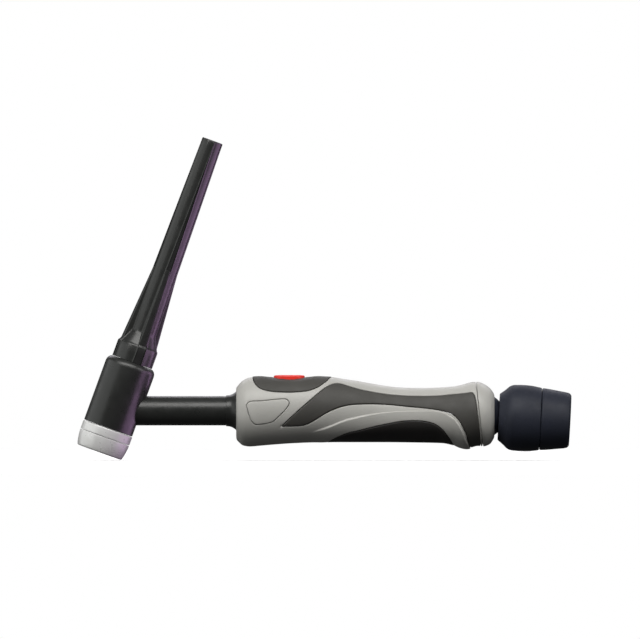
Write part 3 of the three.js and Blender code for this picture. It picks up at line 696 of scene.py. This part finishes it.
# ---------- panels ----------
def panel_points(outline, loops, starts, stops, edge, creased):
    """Points inside a panel: rows along its rounded edges and its crease, and a grid between them."""
    rows = []
    for inset in (0.3 * edge, 0.7 * edge, 1.15 * edge):
        for k, loop in enumerate(loops):
            row = grown(loop, -inset if k == 0 else inset)
            rows.append(row[np.abs(nearest(row, starts, stops)[0] - inset) < 0.1 * inset])
    low, high = outline.min(0), outline.max(0)
    nose_x = 60  # ahead of this the handle turns in sharply, so the grid is finer
    xs = np.concatenate([np.arange(low[0], nose_x, 0.4), np.arange(max(nose_x, low[0]), high[0], GRID)])
    levels = np.arange(low[1], high[1], GRID)
    grid = np.array([(x, s + (i % 2) * GRID / 2) for i, x in enumerate(xs) for s in levels])
    clear = nearest(grid, starts, stops)[0] > 1.15 * edge + 0.35
    if creased:
        clear &= nearest(grid, CREASE[:-1], CREASE[1:])[0] > 0.7
        for offset in (-2, -1, 0, 1, 2):
            row = grown_line(CREASE, offset * CREASE_HALF)
            rows.append(row[nearest(row, starts, stops)[0] > 1.15 * edge + 0.2])
    return np.vstack([*rows, grid[clear]])


def skin_panel(name, outline, finish, replaces, holes=(), side=-1, edge=0.35, depth=1.6, lift=None,
               rise=0.0):
    """A closed slab of the handle's skin with rounded edges, inside an outline on the unrolled skin."""
    loops = [outline, *holes]
    starts = np.vstack(loops)
    stops = np.vstack([np.roll(loop, -1, 0) for loop in loops])
    inner = panel_points(outline, loops, starts, stops, edge, lift is crease_lift)
    flat, faces = triangulated(loops, inner)
    used = sorted({i for face in faces for i in face})
    renumber = {old: new for new, old in enumerate(used)}
    flat = flat[used]
    faces = [tuple(renumber[i] for i in face) for face in faces]
    distance = nearest(flat, starts, stops)[0]
    inside = np.clip(1 - distance / edge, 0, 1)
    height = rise - edge * (1 - np.sqrt(1 - inside**2))
    if lift:
        height = height + lift(flat)
    x, s = flat.T
    surface, normal = skin(x, s, side), skin_normal(x, s, side)
    outer = surface + normal * height[:, None]
    points = np.vstack([outer, surface - normal * depth])
    closed = slab_faces(outer, faces, normal)
    return piece(name, points, closed, TORCH, finish, "torch", replaces, sharp=55)


def grown_line(line, offset):
    """An open line moved sideways."""
    along = np.gradient(line, axis=0)
    along /= np.linalg.norm(along, axis=1, keepdims=True)
    return line + np.stack([-along[:, 1], along[:, 0]], -1) * offset


def triangulated(loops, inner):
    """Triangles inside the first loop and outside the others, on the given points."""
    loops = [loop if area(loop) > 0 else loop[::-1] for loop in loops]
    points = np.vstack([*loops, inner])
    polygons, first = [], 0
    for loop in loops:
        polygons.append(list(range(first, first + len(loop))))
        first += len(loop)
    made = delaunay_2d_cdt([Vector(p) for p in points], [], polygons, 0, 1e-5)
    flat = np.array([tuple(p) for p in made[0]])
    faces = [f for f, inputs in zip(made[2], made[5]) if inputs == [0]]
    return flat, faces


def slab_faces(outer, faces, normal):
    """The outer faces, the same faces turned over for the inside, and the walls between them."""
    a, b, c = (outer[[f[k] for f in faces]] for k in range(3))
    facing = np.einsum("ij,ij->i", np.cross(b - a, c - a), normal[[f[0] for f in faces]])
    if np.median(np.sign(facing)) < 0:
        faces = [f[::-1] for f in faces]
    count = len(outer)
    once = {}
    for face in faces:
        for i, j in zip(face, face[1:] + face[:1]):
            if (j, i) in once:
                del once[(j, i)]
            else:
                once[(i, j)] = True
    walls = [(j, i, i + count, j + count) for i, j in once]
    return faces + [tuple(i + count for i in f[::-1]) for f in faces] + walls


BUTTON_X = (middle("trigger_button").x - CROSSING.x) / MM
BUTTON_LENGTH = 14.0
BUTTON_WIDTH = 8.0


def screw_holes():
    """The two screw wells on the right side."""
    well_r = 2.5
    return [unrolled(arc((spot.x, spot.z), well_r, 0, 345, 23)) for spot in SCREWS]


def handle():
    """Both shells with their pockets, and the grips, badges, pad and switch cover that fill them."""
    grip, badge, underside, saddle = grip_outline(), badge_outline(), underside_outline(), saddle_outline()
    margin = GAP * 0.8
    pockets = [grown(outline, margin) for outline in (grip, badge, underside, saddle)]
    shell = shell_outline()
    for side, word in ((-1, "left"), (1, "right")):
        holes = pockets + (screw_holes() if side > 0 else [])
        skin_panel(f"handle_shell_{word}_moulding", shell, SHELL, [f"handle_shell_{word}"],
                   holes, side, edge=0.3, depth=2.4, lift=crease_lift)
        skin_panel(f"grip_{word}_overmould", grip, GRIP, [f"grip_panel_{word}"], side=side,
                   edge=0.45, depth=1.4, rise=0.12)
        skin_panel(f"badge_{word}_blank", badge, SHELL, [f"badge_{word}"], side=side,
                   edge=0.35, depth=0.9, rise=0.2)
    skin_panel("underside_overmould", underside, SHADED_PAD, ["underside_grip"], edge=0.45, depth=1.4,
               lift=crease_lift, rise=0.05)
    well = stadium(BUTTON_X, BUTTON_LENGTH + 2 * GAP, BUTTON_WIDTH + 2 * GAP)
    skin_panel("switch_saddle_cover", saddle, GRIP, ["switch_saddle"], [well], edge=0.45,
               depth=2.4, lift=button_dish, rise=0.1)


def rear_ring():
    """The ring behind the shells, its nose, and the lip round the ball's seat."""
    turns = np.linspace(0, 2 * math.pi, 160, endpoint=False)
    s = turns * UNROLL_R
    seam = SEAM_X + GAP / 2 - math.tan(SEAM_LEAN) * skin(np.full(len(s), SEAM_X), s)[:, 2]
    rounding, nose = 0.35, HANDLE_REAR - 0.25
    rows = []
    for inset, along in ((2.2, 0), (rounding, 0), (0.12, 0.1), (0, rounding)):
        x = seam + along
        rows.append(skin(x, s) - skin_normal(x, s) * inset)
    for t in np.linspace(0, 1, 16)[1:]:
        rows.append(skin(seam + rounding + (nose - seam - rounding) * t, s))
    for r, x in ((9.5, HANDLE_REAR - 0.05), (9.2, HANDLE_REAR), (9.05, HANDLE_REAR - 0.1)):
        rows.append(round_row(turns, r, x))
    for x in (HANDLE_REAR - 0.5, HANDLE_REAR - 1.5, LINER_POCKET_REAR + 0.3):
        rows.append(round_row(turns, math.sqrt(SEAT_R**2 - (x - PIVOT.x) ** 2), x))
    for x in (LINER_POCKET_REAR, LINER_POCKET_REAR - 1.5):
        rows.append(round_row(turns, LINER_POCKET_R, x))
    count = len(turns)
    points = [p for row in rows for p in row]
    faces = []
    for i in range(len(rows)):
        here, up = i * count, ((i + 1) % len(rows)) * count
        for k in range(count):
            faces.append((here + k, up + k, up + (k + 1) % count, here + (k + 1) % count))
    piece("rear_ring_moulding", points, faces, TORCH, SHELL, "torch", ["rear_ring"])


def round_row(turns, radius, x):
    """A circle round the swivel's pivot line, turning as the skin does."""
    across, up = -radius * np.sin(turns), PIVOT.z + radius * np.cos(turns)
    return np.stack([np.full(len(turns), x), across, up], -1)


def trigger_button():
    """A round-ended button with a rolled edge and a low crowned top."""
    top = (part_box("trigger_button")[1].z - CROSSING.z) / MM
    edge = ((0, 4.5), (0, 0.75), (0.06, 0.5), (0.25, 0.28), (0.55, 0.17), (1.2, 0.08), (2.4, 0.01))
    rows = []
    for inset, drop in edge:
        outline = stadium(BUTTON_X, BUTTON_LENGTH - 2 * inset, BUTTON_WIDTH - 2 * inset)
        rows.append([(x, y, top - drop) for x, y in outline])
    lofted("trigger_button_cap", rows, TORCH, RED, "button", ["trigger_button"])


def button_spring():
    """A coil between the switch board and the button's flange."""
    wire, turns, around, per_turn = 0.28, 4, 10, 28
    low, high = ((corner - CROSSING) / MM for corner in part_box("button_spring"))
    coil_r = (high.x - low.x) / 2 - wire
    middle_x = (low.x + high.x) / 2
    ring = arc((0, 0), wire, 0, 360 - 360 / around, around - 1)
    rows = []
    for t in np.linspace(0, 1, turns * per_turn + 1):
        turn = 2 * math.pi * turns * t
        z = low.z + wire + (high.z - low.z - 2 * wire) * t
        across, along = math.sin(turn), math.cos(turn)
        rows.append([(middle_x + (coil_r + u) * along, (coil_r + u) * across, z + v) for u, v in ring])
    made = lofted("button_spring_coil", rows, TORCH, STEEL, "torch", ["button_spring"])
    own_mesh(made)


# ---------- swivel ----------
def swivel():
    """The ball in the ring, its neck, the cone round that, and the sleeve that the cable comes out of."""
    spigot_r, spigot_start, spigot_end = 9.6, 12.4, 16
    neck_angle = math.degrees(math.acos(BALL_NECK_R / BALL_R))
    ball = [
        (BALL_BORE_R, -8.2), *arc((0, 0), BALL_R, -53, neck_angle, 24), (BALL_NECK_R, spigot_start),
        (spigot_r, spigot_start), (spigot_r, spigot_end), (BALL_BORE_R + 1.5, spigot_end),
        (BALL_BORE_R, 14.6),
    ]
    turned("swivel_ball_moulding", ball, SWIVEL, NAVY, "swivel", ["swivel_ball"])
    cone = softened([
        (10, 16.2, 0), (10, 12.1, 0), (7.1, 12.1, 0), (7.1, 9.5, 0.3), (8, 8.9, 0.4), (9.7, 7.6, 0.5),
        (10.4, 7.4, 0.5), (12, 9.6, 1.5), (13.9, 11.6, 1.6), (14.7, 13.2, 1.4), (14.95, 17, 3),
        (14.85, 21.5, 3), (14.1, 26, 0.3), (13.7, 26.3, 0.2), (SLEEVE_BORE_R, 26.3, 0),
        (SLEEVE_BORE_R, 16.2, 0),
    ], 8)
    turned("swivel_cone_moulding", cone, SWIVEL, NAVY, "swivel", ["swivel_cone"])
    sleeve = softened([
        (SLEEVE_BORE_R, 26.45, 0), (13.6, 26.45, 0.15), (13.95, 26.85, 0.3), (13.8, 29, 2), (13.1, 34, 2),
        (12.6, 37.6, 1), (12.2, 39, 0.8), (11.2, 39.7, 0.7), (SLEEVE_BORE_R, 39.6, 0.3),
    ], 8)
    turned("cable_sleeve_moulding", sleeve, SWIVEL, NAVY, "swivel", ["cable_sleeve"])


# ---------- CAD nodes that stay ----------
KEPT = {
    "head_core": BRASS, "back_cap_seal": SEAL, "neck_tube": BRASS, "fitting_nut": BRASS, "hose_barb": BRASS,
    "shell_screw_front": STEEL, "shell_screw_rear": STEEL, "socket_liner": ACETAL, "microswitch_body": LEAD,
    "microswitch_plunger": RED, "switch_board": BOARD, "switch_lead_left": LEAD, "switch_lead_right": LEAD,
    "lead_connector": ACETAL,
}


def keep_inner_nodes():
    """The pieces inside the torch stay as the CAD has them, with finishes of their own."""
    for node, finish in KEPT.items():
        mesh = frame["nodes"][node].data
        mesh.materials.clear()
        mesh.materials.append(finish)


# ---------- stage, light and camera ----------
def floor():
    """Pale paper under the torch. Only the camera sees it, so it throws no light back up on to the torch."""
    mesh = bpy.data.meshes.new("floor")
    reach = 0.65
    corners = [(-reach, -reach, 0), (reach, -reach, 0), (reach, reach, 0), (-reach, reach, 0)]
    mesh.from_pydata(corners, [], [(0, 1, 2, 3)])
    made = Finish("floor_paper")
    base = made.mixed(made.spread(made.noise(40, 2), 0, 1), (0.86, 0.86, 0.86), (0.88, 0.88, 0.88))
    made.link(base, made.shader.inputs["Base Color"])
    made.set(Roughness=0.9, Specular_IOR_Level=0.1, Emission_Color=(1, 1, 1, 1), Emission_Strength=0.4)
    mesh.materials.append(made.material)
    plane = bpy.data.objects.new("floor", mesh)
    plane.location.z = -0.0004
    plane.visible_diffuse = plane.visible_glossy = plane.visible_shadow = False
    bpy.context.scene.collection.objects.link(plane)


def world(low, high, seen):
    """Dim studio light from all round, brighter from above, with a plain pale background."""
    made = bpy.data.worlds.new("studio")
    made.use_nodes = True
    tree = made.node_tree
    tree.nodes.clear()
    where = tree.nodes.new("ShaderNodeTexCoord")
    split = tree.nodes.new("ShaderNodeSeparateXYZ")
    height = tree.nodes.new("ShaderNodeMapRange")
    for key, value in (("From Min", -0.3), ("From Max", 1), ("To Min", low), ("To Max", high)):
        height.inputs[key].default_value = value
    lit, shown = (tree.nodes.new("ShaderNodeBackground") for _ in range(2))
    shown.inputs["Strength"].default_value = seen
    shown.inputs["Color"].default_value = (1, 1, 1, 1)
    path = tree.nodes.new("ShaderNodeLightPath")
    mix = tree.nodes.new("ShaderNodeMixShader")
    out = tree.nodes.new("ShaderNodeOutputWorld")
    links = (
        (where.outputs["Generated"], split.inputs[0]), (split.outputs["Z"], height.inputs["Value"]),
        (height.outputs["Result"], lit.inputs["Strength"]), (path.outputs["Is Camera Ray"], mix.inputs[0]),
        (lit.outputs[0], mix.inputs[1]), (shown.outputs[0], mix.inputs[2]), (mix.outputs[0], out.inputs[0]),
    )
    for source, target in links:
        tree.links.new(source, target)
    bpy.context.scene.world = made


def softbox(name, place, aim, size, colour, radiance, only=()):
    """A rectangular area light, its power set by its face's brightness. It may light a few pieces only."""
    data = bpy.data.lights.new(name, "AREA")
    data.shape = "RECTANGLE"
    data.size, data.size_y = size
    data.color = colour
    data.energy = radiance * math.pi * size[0] * size[1]
    light = bpy.data.objects.new(name, data)
    light.location = place
    light.rotation_euler = (Vector(aim) - Vector(place)).to_track_quat("-Z", "Y").to_euler()
    bpy.context.scene.collection.objects.link(light)
    if only:
        lit = bpy.data.collections.new(f"{name}_lights")
        for piece_name in only:
            lit.objects.link(bpy.data.objects[piece_name])
        light.light_linking.receiver_collection = lit


def lights():
    head = ("head_moulding", "back_cap_moulding")
    rings = ("insulator_ring", "heat_shield_ring")
    world(0.06, 0.26, 1.0)
    aim = (0, 0, 0.05)
    softbox("key", (-0.1, -0.8, 1.0), aim, (1.7, 0.65), (1, 0.99, 0.97), 5.1)
    softbox("left_wall", (-1.25, -0.1, 0.3), aim, (2.0, 1.1), (0.98, 1, 0.98), 0.95)
    right, right_size, mauve = (1.25, 0.1, -0.2), (1.7, 1.1), (0.92, 0.56, 1)
    softbox("right_wall", right, aim, right_size, mauve, 2.3, only=head)
    softbox("right_glow", right, aim, right_size, mauve, 0.9, only=rings)
    softbox("rear_front", (1.1, -0.6, 0.6), aim, (0.7, 0.7), (1, 1, 1), 2.2)
    softbox("back_rim", (0.1, 1.1, 0.8), aim, (1.6, 0.6), (0.95, 0.93, 1), 1.8)


def camera():
    """A long lens square on to the torch's left side."""
    width, distance = 0.288, 8.0
    data = bpy.data.cameras.new("camera")
    data.sensor_width = 36
    data.lens = data.sensor_width * distance / width
    data.clip_start, data.clip_end = 0.05, 30
    made = bpy.data.objects.new("camera", data)
    made.location = (-0.002, -distance, 0.0632)
    made.rotation_euler = (math.pi / 2, 0, 0)
    bpy.context.scene.collection.objects.link(made)
    bpy.context.scene.camera = made


camera()
head_insulation()
shield()
back_cap()
neck()
handle()
rear_ring()
trigger_button()
button_spring()
swivel()
keep_inner_nodes()
floor()
lights()
bpy.context.scene.view_settings.view_transform = "Standard"

bpy.context.view_layer.update()
